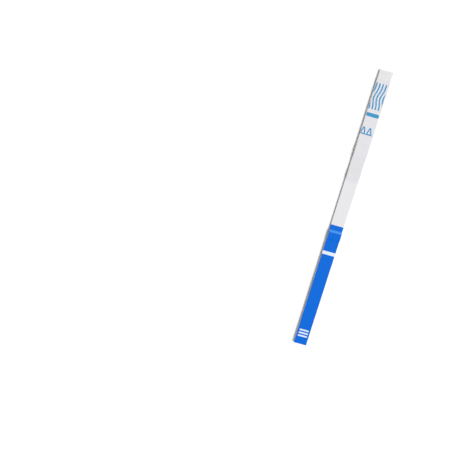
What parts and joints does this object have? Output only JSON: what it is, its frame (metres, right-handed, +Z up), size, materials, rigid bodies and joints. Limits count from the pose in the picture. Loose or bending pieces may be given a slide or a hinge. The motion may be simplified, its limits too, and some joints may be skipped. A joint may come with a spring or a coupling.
{
  "type": "lateral flow test strip",
  "caption": "Narrow dip-and-read lateral flow strip: fibre pads and a membrane laminated on a plastic card, under a printed white dip tape and a blue handle tape.",
  "frame": {"origin": "centre of the backing card's underside, which the strip rests on", "axes": "+X along the strip from the dip end to the handle end, +Y across its width, +Z up out of the printed face"},
  "size_m": [0.085, 0.004, 0.0011],
  "materials": {
    "white_card": "satin",
    "membrane_sheet": "matte",
    "glass_fibre": "matte",
    "cellulose_fibre": "matte",
    "blotting_fibre": "matte",
    "white_film": "satin",
    "blue_film": "satin",
    "blue_ink": "satin",
    "white_ink": "satin"
  },
  "bodies": {
    "root": {"backing_card": "white_card", "membrane": "membrane_sheet", "conjugate_pad": "glass_fibre", "sample_pad": "cellulose_fibre", "absorbent_pad": "blotting_fibre", "dip_tape": "white_film", "handle_tape": "blue_film"}
  },
  "joints": []
}
